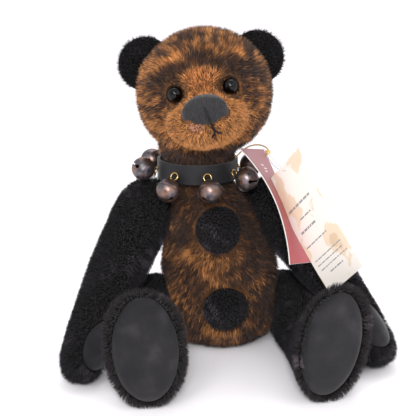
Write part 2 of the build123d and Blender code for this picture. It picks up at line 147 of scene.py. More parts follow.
def distances(points, names, most):
    """How far each point is from the nearest of some CAD nodes, up to a limit."""
    tree = cad_tree(*names)
    out = np.full(len(points), most)
    for i, point in enumerate(points):
        hit = tree.find_nearest(point, most)
        if hit[0] is not None:
            out[i] = hit[3]
    return out


def waves(points, size, seed, count=9):
    """A smooth random field from -1 to 1, with features about that size."""
    rng = np.random.default_rng(seed)
    ways = unit(rng.normal(size=(count, 3))) * (math.pi / size) * rng.uniform(0.7, 1.4, (count, 1))
    turns = rng.uniform(0, 2 * math.pi, count)
    return np.clip(np.sin(points @ ways.T + turns).sum(1) / math.sqrt(count / 2) / 1.6, -1, 1)


def pick(arrays, keep):
    return [a[keep] for a in arrays]


def ramp(value, low, high):
    """0 below low, 1 above high, and smooth between."""
    t = np.clip((value - low) / (high - low), 0, 1)
    return t * t * (3 - 2 * t)


def mix(a, b, amount):
    """Between two colours, or two lists of colours, by an amount per hair."""
    amount = np.asarray(amount)[..., None]
    return a * (1 - amount) + b * amount


# ---- materials ----
def material(name, colour, roughness=0.6, metallic=0.0, **settings):
    """A Principled material; settings name further sockets, with underscores for spaces."""
    made = bpy.data.materials.new(name)
    made.use_nodes = True
    shader = made.node_tree.nodes["Principled BSDF"]
    shader.inputs["Base Color"].default_value = (*colour, 1)
    shader.inputs["Roughness"].default_value = roughness
    shader.inputs["Metallic"].default_value = metallic
    for socket, value in settings.items():
        shader.inputs[socket.replace("_", " ")].default_value = value
    return made


def node(made, kind, **values):
    """A node in a material, with its properties and unlinked inputs set."""
    new = made.node_tree.nodes.new(kind)
    for name, value in values.items():
        if name in new.inputs:
            new.inputs[name].default_value = value
        else:
            setattr(new, name, value)
    return new


def wire(made, source, target, socket):
    made.node_tree.links.new(source, target.inputs[socket])


def shader_of(made):
    return made.node_tree.nodes["Principled BSDF"]


def object_noise(made, scale, detail=3.0):
    """Noise over the piece's own space, so it rides with it."""
    place = node(made, "ShaderNodeTexCoord")
    grain = node(made, "ShaderNodeTexNoise", Scale=scale, Detail=detail)
    wire(made, place.outputs["Object"], grain, "Vector")
    return grain.outputs["Fac"]


def colours_by(made, value, stops):
    """The base colour from a value, by a ramp of (place, colour) stops."""
    ramp_node = node(made, "ShaderNodeValToRGB")
    elements = ramp_node.color_ramp.elements
    elements[0].position, elements[0].color = stops[0][0], (*stops[0][1], 1)
    elements[1].position, elements[1].color = stops[-1][0], (*stops[-1][1], 1)
    for place, colour in stops[1:-1]:
        elements.new(place).color = (*colour, 1)
    made.node_tree.links.new(value, ramp_node.inputs["Fac"])
    wire(made, ramp_node.outputs["Color"], shader_of(made), "Base Color")


def bumped(made, value, depth):
    """Bump from a value, as deep as depth in metres."""
    bump = node(made, "ShaderNodeBump", Strength=1.0, Distance=depth)
    made.node_tree.links.new(value, bump.inputs["Height"])
    wire(made, bump.outputs["Normal"], shader_of(made), "Normal")


def hair_material(name, sheen):
    """Hair whose colour runs from root to tip in the mesh's own colours."""
    made = material(name, (0.2, 0.1, 0.05), 0.62, Sheen_Weight=sheen, Sheen_Roughness=0.5,
                    Specular_IOR_Level=0.28)
    colour = node(made, "ShaderNodeAttribute", attribute_name="hair")
    wire(made, colour.outputs["Color"], shader_of(made), "Base Color")
    return made


def cloth_material(name, dark, light, size):
    """Backing cloth under the pile, with a woven grain."""
    made = material(name, dark, 0.9, Specular_IOR_Level=0.1)
    grain = object_noise(made, 1 / size)
    colours_by(made, grain, [(0.35, dark), (0.65, light)])
    bumped(made, object_noise(made, 1600), 0.0002)
    return made


MATERIALS = {
    "mohair": hair_material("mohair_hair", 0.05),
    "plush": hair_material("plush_hair", 0.08),
    "mohair_cloth": cloth_material("mohair_cloth", (0.050, 0.026, 0.014), (0.17, 0.075, 0.030), 0.009),
    "plush_cloth": cloth_material("plush_cloth", (0.0028, 0.0026, 0.0026), (0.0045, 0.004, 0.004), 0.01),
}


# ---- pieces ----
def add_piece(name, mesh, body, made, nodes=()):
    """A mesh as a piece that rides on a body, in place of some CAD nodes."""
    piece = bpy.data.objects.new(name, mesh)
    bpy.context.scene.collection.objects.link(piece)
    mesh.materials.clear()
    mesh.materials.append(made)
    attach(piece, body)
    if nodes:
        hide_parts(*nodes)
    return piece


def applied(piece):
    """A piece's mesh with its modifiers applied."""
    bpy.context.view_layer.update()
    seen = piece.evaluated_get(bpy.context.evaluated_depsgraph_get())
    return bpy.data.meshes.new_from_object(seen)


def largest_part(mesh):
    """Keeps the largest connected part of a mesh."""
    shape = bmesh.new()
    shape.from_mesh(mesh)
    left = set(shape.verts)
    parts = []
    while left:
        grown = [left.pop()]
        part = list(grown)
        while grown:
            for edge in grown.pop().link_edges:
                for vert in edge.verts:
                    if vert in left:
                        left.remove(vert)
                        grown.append(vert)
                        part.append(vert)
        parts.append(part)
    parts.sort(key=len)
    for part in parts[:-1]:
        bmesh.ops.delete(shape, geom=part, context="VERTS")
    shape.to_mesh(mesh)
    shape.free()
    return mesh


def skin_mesh(names):
    """The cloth over some CAD solids: one even mesh of their outside, relaxed."""
    joined = bmesh.new()
    for name in names:
        joined.from_mesh(frame["nodes"][name].data)
    mesh = bpy.data.meshes.new("skin")
    joined.to_mesh(mesh)
    joined.free()
    work = bpy.data.objects.new("skin", mesh)
    bpy.context.scene.collection.objects.link(work)
    even = work.modifiers.new("even", "REMESH")
    even.mode = "VOXEL"
    even.voxel_size = SKIN_VOXEL
    relax = work.modifiers.new("relax", "SMOOTH")
    relax.factor = 0.5
    relax.iterations = 5
    out = largest_part(applied(work))
    bpy.data.objects.remove(work)
    out.shade_smooth()
    return out


def vertex_places(mesh):
    places = np.empty(len(mesh.vertices) * 3)
    mesh.vertices.foreach_get("co", places)
    return places.reshape(-1, 3)


def vertex_normals(mesh):
    normals = np.empty(len(mesh.vertices) * 3)
    mesh.vertex_normals.foreach_get("vector", normals)
    return normals.reshape(-1, 3)


def strewn(mesh, density, seed):
    """Points strewn over a mesh, so many to the square millimetre, with the normals there."""
    mesh.calc_loop_triangles()
    corners = np.empty(len(mesh.loop_triangles) * 3, int)
    mesh.loop_triangles.foreach_get("vertices", corners)
    corners = corners.reshape(-1, 3)
    places, normals = vertex_places(mesh), vertex_normals(mesh)
    a, b, c = (places[corners[:, k]] for k in range(3))
    area = np.linalg.norm(np.cross(b - a, c - a), axis=1) / 2
    rng = np.random.default_rng(seed)
    count = int(area.sum() * 1e6 * density)
    chosen = corners[rng.choice(len(area), count, p=area / area.sum())]
    u, v = rng.random(count), rng.random(count)
    over = u + v > 1
    u[over], v[over] = 1 - u[over], 1 - v[over]
    shares = np.stack([1 - u - v, u, v], 1)[:, :, None]
    return (places[chosen] * shares).sum(1), unit((normals[chosen] * shares).sum(1))


def gathered(tips, owner, count):
    """The mean tip of each tuft."""
    total = np.zeros((count, 3))
    np.add.at(total, owner, tips)
    members = np.bincount(owner, minlength=count)[:, None]
    return total / np.maximum(members, 1)


def tufts(points, hairs, seed):
    """Which tuft each hair is in, for so many hairs to a tuft."""
    rng = np.random.default_rng(seed)
    count = math.ceil(len(points) / hairs)
    centres = points[rng.choice(len(points), count, replace=False)]
    tree = KDTree(count)
    for i, centre in enumerate(centres):
        tree.insert(centre, i)
    tree.balance()
    owner = np.array([tree.find(point)[1] for point in points])
    return owner, count


def hair_mesh(roots, bends, tips, side, width, colours):
    """Each hair is a ribbon of a quad and a triangle, with its own cell of the texture map."""
    count = len(roots)
    half = side * (width / 2)[:, None]
    verts = np.stack([roots - half, roots + half, bends - half * 0.8, bends + half * 0.8, tips], 1)
    verts[:, :, 2] = np.maximum(verts[:, :, 2], FLOOR_GAP)
    order = np.array([0, 1, 3, 2, 2, 3, 4])
    loops = (np.arange(count)[:, None] * 5 + order).ravel()
    starts = (np.arange(count)[:, None] * 7 + np.array([0, 4])).ravel()
    mesh = bpy.data.meshes.new("hair")
    mesh.vertices.add(count * 5)
    mesh.vertices.foreach_set("co", verts.ravel())
    mesh.loops.add(count * 7)
    mesh.loops.foreach_set("vertex_index", loops)
    mesh.polygons.add(count * 2)
    mesh.polygons.foreach_set("loop_start", starts)
    mesh.update(calc_edges=True)
    row = math.ceil(math.sqrt(count))
    cell = np.stack([np.arange(count) % row, np.arange(count) // row], 1)
    inside = np.array([[0.1, 0.1], [0.9, 0.1], [0.2, 0.5], [0.8, 0.5], [0.5, 0.9]])
    uv = (cell[:, None, :] + inside[order][None]) / row
    layer = mesh.uv_layers.new(name="OFBake")
    layer.data.foreach_set("uv", uv.ravel().astype(np.float32))
    shades = np.ones((count, 5, 4), np.float32)
    shades[:, 0, :3] = shades[:, 1, :3] = colours[0]
    shades[:, 2, :3] = shades[:, 3, :3] = colours[1]
    shades[:, 4, :3] = colours[2]
    paint = mesh.color_attributes.new("hair", "FLOAT_COLOR", "POINT")
    paint.data.foreach_set("color", shades.ravel())
    return mesh


def comb(name, body, slot, points, normals, flow, pile, colours, lean=0.9, frizz=0.25, tuft=0.0022,
         gather=0.5, length=None, seed=1):
    """A coat of hair: from points, along normals leaning with flow, drawn into tufts."""
    rng = np.random.default_rng(seed)
    count = len(points)
    long = pile["length"] * rng.uniform(0.7, 1.12, count)
    if length is not None:
        long = np.minimum(long * length[0], length[1])
    keep = long > SHORTEST_HAIR
    points, normals, flow, long = pick([points, normals, flow, long], keep)
    colours = pick(colours, keep)
    count = len(points)
    along = flow - normals * (flow * normals).sum(1, keepdims=True)
    wild = rng.normal(size=(count, 3))
    stray = wild * (frizz * rng.choice([0.75, 1.9], count, p=[0.86, 0.14]))[:, None]
    low_way = unit(normals + along * lean * 0.45 + stray * 0.4)
    high_way = unit(normals + along * lean * 1.5 + stray)
    bends = points + low_way * (long * 0.5)[:, None]
    tips = bends + high_way * (long * 0.5)[:, None]
    owner, groups = tufts(points, pile["density"] * (tuft / MM) ** 2, seed + 1)
    pull = gather * rng.uniform(0.5, 1.2, count)[:, None]
    tips += (gathered(tips, owner, groups)[owner] - tips) * pull
    bends += (gathered(bends, owner, groups)[owner] - bends) * pull * 0.4
    across = unit(np.cross(low_way, rng.normal(size=(count, 3))))
    width = pile["width"] * rng.uniform(0.7, 1.3, count)
    mesh = hair_mesh(points, bends, tips, across, width, colours)
    add_piece(name, mesh, body, MATERIALS[slot])


# ---- the body under the pile ----
def rounded_skin(name, body, slot, dents, replaced, inside=(), swell=None):
    """A stuffed cloth body: its even skin, pressed in and out a little as stuffing leaves it."""
    mesh = skin_mesh([*replaced, *inside])
    places, normals = vertex_places(mesh), vertex_normals(mesh)
    lumps = waves(places, 0.022, dents) * 0.0005 + waves(places, 0.009, dents + 1) * 0.0002
    drawn = ramp(distances(places, DISCS, 0.012), 0.0032, 0.0085)
    move = normals * ((lumps - SKIN_INSET[slot]) * drawn)[:, None]
    if swell:
        move = move + swell(places, normals)
    places = places + move
    places[:, 2] = np.maximum(places[:, 2], FLOOR_GAP)
    mesh.vertices.foreach_set("co", places.ravel())
    mesh.update()
    piece = add_piece(name, mesh, body, MATERIALS[f"{slot}_cloth"], replaced)
    return piece


def thin_near(points, reach, hard, soft=()):
    """The most that a hair may stand out: short of a hard piece, and just into a soft one's pile."""
    room = distances(points, hard, reach) * 0.85 - 0.0004
    return np.minimum(room, distances(points, soft, reach) * 1.05 + 0.0006) if soft else room


# ---- head ----
SKULL, HEAD_LEFT, HEAD_FRONT, HEAD_UP = head_axes()
NOSE = middle("nose_stitching")
NEAR_HEAD = [*EYES, "nose_stitching", "mouth_stitching", "tag_booklet"]


def head_places(points):
    """Points in the head's own frame, in millimetres: left, forward and up from the skull's middle."""
    rel = (points - SKULL) / MM
    return rel @ HEAD_LEFT, rel @ HEAD_FRONT, rel @ HEAD_UP


def face_darkness(points):
    """How dark the hair tips are: ginger on the muzzle, dark over the brows and behind, with painted shade
    under the chin and down the head's left side.
    """
    x, y, z = head_places(points)
    muzzle = 1 - ramp(np.hypot(x / 27, (z + 13) / 23), 0.82, 1.18)
    bridge = 1 - ramp(np.hypot(x / 19, (z - 6) / 16), 0.8, 1.12)
    bright = np.maximum(muzzle, bridge) * ramp(y, 14, 26)
    brow = np.exp(-((z - 23.5 + 0.010 * x ** 2) / 4.2) ** 2) * ramp(y, 6, 20) * (1 - ramp(abs(x), 34, 42))
    band = np.exp(-((z - 30.5 + 0.006 * x ** 2) / 4.0) ** 2) * ramp(y, 2, 16) * ramp(abs(x), 4, 14)
    # painted shade: the tips darken under the chin
    chin = ramp(-z, 27, 32)
    patchy = waves(points, 0.009, 5) * 0.6 + waves(points, 0.004, 6) * 0.45
    # painted shade: the last term darkens the head's left side, away from the key light
    dark = 0.60 + 0.36 * patchy + 0.42 * brow - 0.40 * band + 0.6 * chin + 0.24 * ramp(x, 16, 32)
    cheeks = np.exp(-((abs(x) - 34) / 7) ** 2) * np.exp(-((z + 6) / 18) ** 2)
    dark -= 0.30 * cheeks
    return np.clip(dark * (1 - bright) + bright * (0.05 + 0.12 * patchy), 0, 1)


def mohair_colours(points, dark, seed):
    """Root, middle and tip colours of tipped mohair."""
    rng = np.random.default_rng(seed)
    count = len(points)
    own = np.clip(dark + waves(points, 0.0026, seed + 1) * 0.26 + rng.normal(size=count) * 0.2, 0, 1)
    light = 0.95 + waves(points, 0.0019, seed + 2) * 0.20 + rng.normal(size=count) * 0.20
    light = np.clip(light, 0.4, 1.6)[:, None]
    tip_dark = mix(DARK_TIP, GREY_TIP, rng.random(count) ** 1.5)
    root = mix(GINGER * 0.85, BROWN, ramp(own, 0.2, 0.8)) * light
    bend = mix(mix(GINGER, RUST, ramp(own, 0.12, 0.5)), BROWN, ramp(own, 0.45, 0.85)) * light
    tip = mix(GINGER * 1.1, tip_dark, ramp(own, 0.24, 0.56)) * light
    return [root, bend, tip]


def plush_colours(points, seed, brown=0.0):
    """Root, middle and tip colours of black plush, with patches of painted sheen."""
    rng = np.random.default_rng(seed)
    # painted sheen: lighter patches over the pile
    painted_sheen = 3.2 * ramp(waves(points, 0.012, seed) + 0.5 * waves(points, 0.004, seed + 1), 0.62, 1.3)
    light = (0.78 + painted_sheen + rng.normal(size=len(points)) * 0.12)[:, None]
    shade = mix(BLACK, RIM_BROWN, np.full(len(points), brown))
    tip = mix(BLACK_TIP, RIM_BROWN * 1.7, np.full(len(points), brown))
    return [shade * 0.6 * light, shade * light, tip * light]


def nose_swell(places, normals):
    """The cloth comes up under the nose, so that the nose sits on it."""
    near = 1 - ramp(distances(places, ["nose_stitching"], 0.006), 0.0008, 0.0045)
    return normals * (near * 1.2 * SKIN_INSET["mohair"])[:, None]


def make_head():
    skin = rounded_skin("head_skin", "head", "mohair", 11, ["head_cover", "head_stuffing"],
                        swell=nose_swell)
    points, normals = strewn(skin.data, MOHAIR["density"] * 1.1, 21)
    x, y, z = head_places(points)
    room = thin_near(points, 0.012, NEAR_HEAD)
    muzzle = (1 - ramp(np.hypot(x / 30, (z + 12) / 26), 0.8, 1.2)) * ramp(y, 14, 28)
    share = 0.92 - 0.42 * muzzle
    eyes = distances(points, EYES, 0.012)
    share *= 0.35 + 0.65 * ramp(eyes, 0.001, 0.009)
    keep = room > SHORTEST_HAIR
    points, normals, share, room, eyes = pick([points, normals, share, room, eyes], keep)
    outward = unit(points - (NOSE - HEAD_FRONT * 0.012))
    swirl = np.cross(outward, HEAD_FRONT) * waves(points, 0.013, 14)[:, None]
    flow = outward + DOWN * 0.35 + swirl * 0.7
    dark = face_darkness(points)
    # painted shadow: the hair tips darken in a ring round each eye
    eye_shadow_ring = 1 - ramp(eyes, 0.003, 0.0065)
    dark = np.clip(dark + 0.55 * eye_shadow_ring, 0, 1)
    colours = mohair_colours(points, dark, 31)
    x, y, z = head_places(points)
    bare = (1 - ramp(np.hypot((x + 6.5) / 5.2, (z + 15) / 3.6), 0.6, 1.2)) * ramp(y, 20, 26)
    face = 1 + ((0.04 + 0.5 * ramp(z, -4, 8)) * (1 - ramp(dark, 0.1, 0.3)))[:, None]
    colours = [mix(c * face, BARE_PINK, bare * 0.75) for c in colours]
    share *= 1 - 0.55 * bare
    comb("head_fur", "head", "mohair", points, normals, flow, MOHAIR, colours, lean=0.6, frizz=0.5,
         tuft=0.0017, gather=0.4, length=(share, room), seed=41)


# ---- torso ----
def make_torso():
    skin = rounded_skin("torso_skin", "torso", "mohair", 12, ["torso_cover", "torso_stuffing"])
    points, normals = strewn(skin.data, MOHAIR["density"], 22)
    patches = distances(points, PATCHES, 0.01)
    room = thin_near(points, 0.012, ["collar_strap", "head_cover", *TAGS, *BELLS], LIMB_COVERS)
    keep = (patches > 0.0038) & (room > SHORTEST_HAIR)
    points, normals, room = pick([points, normals, room], keep)
    low, high = (np.array(c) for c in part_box("torso_cover"))
    across = (points[:, 0] - (low[0] + high[0]) / 2) / MM
    height = points[:, 2] / MM
    front = ramp(-normals[:, 1], 0.2, 0.8)
    patchy = waves(points, 0.010, 7) * 0.65 + waves(points, 0.0045, 8) * 0.4
    # painted light: the pile that faces front is lightened in two bands, about 60 mm and 14 mm up
    painted_glow = np.exp(-((height - 60) / 14) ** 2) + 0.9 * np.exp(-((height - 14) / 8) ** 2)
    # painted shade: darker towards both flanks and most down the side away from the key light; painted
    # light on the side towards it
    side_shade = 0.10 * ramp(abs(across), 22, 38) + 0.34 * ramp(across, 6, 26)
    side_shade -= 0.10 * ramp(-across, 12, 30)
    dark = 0.78 + 0.44 * patchy - 0.26 * front * np.clip(painted_glow, 0, 1) + side_shade
    # painted shade under the collar and the head
    dark += 0.4 * ramp(height, 88, 108)
    colours = mohair_colours(points, np.clip(dark, 0, 1), 32)
    flow = np.tile(DOWN, (len(points), 1)) + waves(points, 0.02, 9)[:, None] * np.array([0.35, 0, 0])
    comb("torso_fur", "torso", "mohair", points, normals, flow, MOHAIR, colours, lean=0.7, frizz=0.5,
         tuft=0.0021, gather=0.5, length=(1.0, room), seed=42)


def outer_points(name, density, seed, body_middle):
    """Points strewn over the side of a thin CAD piece that faces away from a body's middle."""
    points, normals = strewn(frame["nodes"][name].data, density, seed)
    return pick([points, normals], (normals * unit(points - body_middle)).sum(1) > 0.25)


def make_patch(which, seed):
    """A round plush patch let into the front: backing cloth and short dense pile."""
    patch = f"tummy_patch_{which}"
    points, normals = outer_points(patch, PATCH_PLUSH["density"], seed, middle("torso_stuffing"))
    points = points - normals * 1.2 * MM
    colours = plush_colours(points, seed)
    flow = np.tile(DOWN, (len(points), 1)) + unit(points - middle(patch)) * 0.8
    comb(f"patch_fur_{which}", "torso", "plush", points, normals, flow, PATCH_PLUSH, colours,
         lean=0.7, frizz=0.35, tuft=0.0018, gather=0.4, seed=seed + 1)


# ---- arms and legs ----
def pad_axes(pad, pivot):
    """A flat pad's middle, its short, long and facing directions, and its half width and height."""
    places = vertex_places(frame["nodes"][pad].data)
    centre = middle(pad)
    short, long, facing = np.linalg.svd(places - places.mean(0), full_matrices=False)[2][[1, 0, 2]]
    if facing.dot(centre - pivot) < 0:
        facing = -facing
    long = long if long[2] > 0 else -long
    halves = [np.ptp(places @ way) / 2 for way in (short, long)]
    return centre, short, long, facing, halves


def oval_mesh(centre, across, up, half_wide, half_high, place, rings=12, spokes=72):
    """An oval patch: each point of a round grid is put in place by a function."""
    verts, faces = [place(centre, 0)], []
    for ring in range(1, rings + 1):
        share = ring / rings
        for spoke in range(spokes):
            turn = 2 * math.pi * spoke / spokes
            flat = centre + across * (half_wide * share * math.cos(turn))
            flat = flat + up * (half_high * share * math.sin(turn))
            verts.append(place(flat, share))
    for spoke in range(spokes):
        after = (spoke + 1) % spokes
        faces.append((0, 1 + spoke, 1 + after))
        for ring in range(rings - 1):
            low, high = 1 + ring * spokes, 1 + (ring + 1) * spokes
            faces.append((low + spoke, high + spoke, high + after, low + after))
    mesh = bpy.data.meshes.new("oval")
    mesh.from_pydata([tuple(v) for v in verts], [], faces)
    mesh.shade_smooth()
    return mesh


def foot_swell(sole):
    """The foot's cloth swells round the pad, most at heel and toe."""
    centre, short, long, facing, halves = sole

    def swell(places, normals):
        rel = places - centre
        flat = rel - np.outer(rel @ facing, facing)
        outside = ramp(np.hypot(rel @ short / halves[0], rel @ long / halves[1]), 0.98, 1.08)
        near = ramp(rel @ facing / MM, -20, -3) * outside
        toes = np.clip(unit(flat) @ long, 0, 1) ** 2
        outward = near * (SOLE_SWELL + TOE_SWELL * toes)
        return unit(flat) * outward[:, None] + np.outer(near * 0.7 * MM, facing)

    return swell


def arm_swell(pivot, along, inward, near):
    """The arm fills out on its inner side towards the paw."""
    def swell(places, normals):
        share = ramp((places - pivot) @ along / MM, 18, 58)
        wanted = share * np.clip(normals @ inward, 0, 1) * ARM_SWELL
        space = np.clip(distances(places, near, 0.012) - 0.0012, 0, None) * 0.75
        return inward * np.minimum(wanted, space)[:, None]

    return swell


def make_leg(side, seed, suede):
    """A leg with its pile, and the suede sole framed by a puffed rim."""
    body, cover, pad = f"leg_{side}", f"leg_cover_{side}", f"foot_pad_{side}"
    pivot = joint_place(f"hip_{side}")
    sole = pad_axes(pad, pivot)
    centre, short, long, facing, halves = sole
    skin = rounded_skin(f"{body}_skin", body, "plush", seed, [cover, f"leg_stuffing_{side}"],
                        [f"foot_insole_{side}"], foot_swell(sole))

    def placed(flat, share):
        return flat + facing * (0.0011 + 0.0007 * (1 - share ** 2) - 0.0022 * max(0, share - 0.9) / 0.1)

    core = centre + long * 0.0022
    half_wide, half_high = halves[0] * 1.06, halves[1] * 1.12
    sheet = oval_mesh(core, short, long, half_wide, half_high, placed)
    add_piece(f"foot_suede_{side}", sheet, body, suede, [pad])
    points, normals = strewn(skin.data, PLUSH["density"], seed + 1)
    room = thin_near(points, 0.009, TAGS, ["torso_cover", f"arm_cover_{side}"])
    rel = points - core
    oval_share = np.hypot(rel @ short / half_wide, rel @ long / half_high)
    keep = (room > SHORTEST_HAIR) & ((oval_share > 1.0) | (rel @ facing < -6 * MM))
    points, normals, room, rel = pick([points, normals, room, rel], keep)
    rim = ramp(rel @ facing / MM, -9, -2)
    outward = unit(rel - np.outer(rel @ facing, facing))
    swirl = waves(points, 0.016, seed + 2)[:, None] * unit(np.cross(normals, DOWN)) * 0.8
    flow = (unit(centre - pivot) + swirl) * (1 - rim[:, None]) + (outward + facing * 0.3) * rim[:, None]
    black, brown = plush_colours(points, seed + 3), plush_colours(points, seed + 3, 1.0)
    colours = [mix(a, b, rim) for a, b in zip(black, brown)]
    comb(f"{body}_fur", body, "plush", points, normals, flow, PLUSH, colours, lean=0.6, frizz=0.38,
         tuft=0.0017, gather=0.35, length=(1 + 0.1 * rim, room), seed=seed + 4)


def make_arm(side, seed, suede):
    """An arm with its pile, and the suede paw let into its inner side."""
    body, cover, pad = f"arm_{side}", f"arm_cover_{side}", f"paw_pad_{side}"
    pivot = joint_place(f"shoulder_{side}")
    centre = middle(pad)
    along = unit(centre - pivot)
    inward = np.array([1.0 if side == "right" else -1.0, 0, 0])
    inward = unit(inward + AHEAD * 0.3)
    inward = unit(inward - along * inward.dot(along))
    near = ["torso_cover", f"leg_cover_{side}"]
    skin = rounded_skin(f"{body}_skin", body, "plush", seed, [cover, f"arm_stuffing_{side}"], [pad],
                        arm_swell(pivot, along, inward, near))
    tree = search_tree(skin.data)
    facing = unit(inward * {"right": 0.3, "left": -0.35}[side] + AHEAD)
    facing = unit(facing - along * facing.dot(along))
    across = np.cross(along, facing)
    core = centre - inward * 9 * MM + along * 3 * MM

    def placed(flat, share):
        return onto(tree, flat + facing * 0.03, -facing, 0.0007 - 0.0012 * max(0, share - 0.88) / 0.12)

    half_wide, half_high = PAW_HALF
    sheet = oval_mesh(core, across, along, half_wide, half_high, placed)
    add_piece(f"paw_suede_{side}", sheet, body, suede, [pad])
    points, normals = strewn(skin.data, PLUSH["density"], seed + 1)
    room = thin_near(points, 0.009, [*TAGS, *BELLS], near)
    rel = points - core
    on_paw = (np.hypot(rel @ across / half_wide, rel @ along / half_high) < 0.97) & (rel @ facing > 0)
    points, normals, room = pick([points, normals, room], (room > SHORTEST_HAIR) & ~on_paw)
    flow = along + waves(points, 0.016, seed + 2)[:, None] * unit(np.cross(normals, DOWN)) * 0.8
    colours = plush_colours(points, seed + 3)
    comb(f"{body}_fur", body, "plush", points, normals, flow, PLUSH, colours, lean=0.6, frizz=0.38,
         tuft=0.0018, gather=0.3, length=(1.0, room), seed=seed + 4)


def make_ear(side, seed):
    ear = f"ear_{side}"
    points, normals = strewn(frame["nodes"][ear].data, EAR_PLUSH["density"], seed)
    points = points - normals * 1.2 * MM
    room = distances(points, ["head_cover"], 0.01) * 1.2
    points, normals, room = pick([points, normals, room], room > 1.2 * MM)
    flow = unit(points - SKULL) + waves(points, 0.008, seed)[:, None] * HEAD_LEFT * 0.4
    colours = plush_colours(points, seed)
    comb(f"{ear}_fur", "head", "plush", points, normals, flow, EAR_PLUSH, colours, lean=0.5, frizz=0.4,
         tuft=0.0018, gather=0.4, length=(1.0, room), seed=seed + 1)


# ---- sewn details ----
def tube_mesh(paths, radius, sides=6):
    """Round threads along paths, joined in one mesh."""
    verts, faces = [], []
    for path in paths:
        path = np.asarray(path, float)
        ways = unit(np.gradient(path, axis=0))
        first = unit(np.cross(ways, np.array([0.31, 0.87, 0.38])))
        second = np.cross(ways, first)
        base = len(verts)
        for k in range(len(path)):
            for s in range(sides):
                turn = 2 * math.pi * s / sides
                verts.append(path[k] + (first[k] * math.cos(turn) + second[k] * math.sin(turn)) * radius)
        for k in range(len(path) - 1):
            for s in range(sides):
                a, b = base + k * sides + s, base + k * sides + (s + 1) % sides
                faces.append((a, b, b + sides, a + sides))
        faces.append(tuple(range(base + sides - 1, base - 1, -1)))
        faces.append(tuple(range(base + (len(path) - 1) * sides, base + len(path) * sides)))
    mesh = bpy.data.meshes.new("threads")
    mesh.from_pydata([tuple(v) for v in verts], [], faces)
    mesh.shade_smooth()
    return mesh


def onto(tree, point, way, lift):
    """Where a line from a point meets a surface, lifted off it."""
    hit = tree.ray_cast(Vector(point), Vector(way))
    if hit[0] is None:
        hit = tree.find_nearest(Vector(point))
    return np.array(hit[0]) + np.array(hit[1]) * lift


def thread_material():
    made = material("nose_thread", (0.024, 0.023, 0.025), 0.55, Sheen_Weight=0.12, Specular_IOR_Level=0.32)
    grain = object_noise(made, 900, 2)
    colours_by(made, grain, [(0.34, (0.006, 0.0058, 0.0066)), (0.66, (0.025, 0.024, 0.027))])
    return made


# Each mouth stitch, in millimetres left of and above the nose's middle.
MOUTH_STITCHES = [
    [(-0.3, 1.5), (0.6, -3.5), (1.9, -8.5), (4.0, -15.0)],
    [(0.7, -1.0), (1.6, -5.0), (2.9, -9.5), (4.2, -15.0)],
    [(2.6, -9.0), (3.5, -13.0), (5.4, -15.6), (7.8, -16.2)],
    [(3.2, -10.5), (3.8, -14.0), (3.2, -16.5), (1.6, -18.0)],
]


def nose_place(tree, x, z):
    """A point on the stuffed nose or below it, from how far left of and above its middle it is."""
    flat = NOSE + HEAD_LEFT * x + HEAD_UP * (z - 0.7 * MM)
    share = min(1.0, math.hypot(x / NOSE_HALF[0], z / NOSE_HALF[1]))
    ground = onto(tree, flat + HEAD_FRONT * 0.02, -HEAD_FRONT, 0)
    return ground + HEAD_FRONT * (NOSE_CROWN * math.sqrt(1 - share ** 2))


def mouth_point(tree, x, z):
    """A point of the mouth line: on the nose's threads, and lower down in the pile."""
    lift = 0.7 if z > -9 else -0.6
    return nose_place(tree, x * MM, z * MM) + HEAD_FRONT * lift * MM


def make_nose(thread):
    """The nose of upright satin stitches laid side by side over its pad, and the mouth line."""
    tree = cad_tree("nose_stitching", "head_cover")
    rng = np.random.default_rng(3)
    paths = []
    steps = 25
    for k in range(steps):
        u = -1 + 2 * (k + 0.5) / steps
        reach = NOSE_HALF[1] * math.sqrt(1 - u * u)
        path = []
        for t in np.linspace(1, -1, 11):
            x = u * NOSE_HALF[0] * (1 - 0.08 * (1 - t) / 2) + rng.normal() * 0.06 * MM
            point = nose_place(tree, x, reach * t)
            short_of_edge = NOSE_EDGE - (point - NOSE) @ HEAD_FRONT
            path.append(point + HEAD_FRONT * max(0, short_of_edge))
        paths.append(path)
    add_piece("nose_threads", tube_mesh(paths, THREAD_R), "head", thread)
    black = material("mouth_thread", (0.0075, 0.007, 0.0075), 0.6, Specular_IOR_Level=0.25)
    lines = [[mouth_point(tree, x, z) for x, z in stitch] for stitch in MOUTH_STITCHES]
    mouth = tube_mesh(lines, MOUTH_THREAD_R)
    add_piece("mouth_threads", mouth, "head", black, ["mouth_stitching"])


def paint_cad(name, made):
    """Gives a CAD piece its finished material."""
    mesh = frame["nodes"][name].data
    mesh.materials.clear()
    mesh.materials.append(made)


def strap_material():
    """Smooth dark leather with a fine grain."""
    made = material("strap_leather", (0.0034, 0.0034, 0.0044), 0.5, Sheen_Weight=0.12,
                    Specular_IOR_Level=0.3)
    broad = object_noise(made, 60, 5)
    colours_by(made, broad, [(0.34, (0.0034, 0.0034, 0.0044)), (0.66, (0.0072, 0.0070, 0.0088))])
    bumped(made, object_noise(made, 900, 6), 0.00016)
    return made


def board_material():
    made = material("disc_board", (0.22, 0.15, 0.09), 0.85)
    colours_by(made, object_noise(made, 220), [(0.3, (0.18, 0.12, 0.07)), (0.7, (0.27, 0.19, 0.11))])
    return made


def bell_material():
    """Aged copper: warm metal with grey-blue and near-black patina."""
    made = material("bell_copper", (0.2, 0.12, 0.08), 0.36, 0.9)
    mottle = object_noise(made, 150, 5)
    colours_by(made, mottle, [(0.32, (0.060, 0.052, 0.054)), (0.45, (0.16, 0.145, 0.16)),
                              (0.55, (0.23, 0.14, 0.105)), (0.68, (0.10, 0.066, 0.060))])
    bumped(made, object_noise(made, 700, 4), 0.0001)
    return made


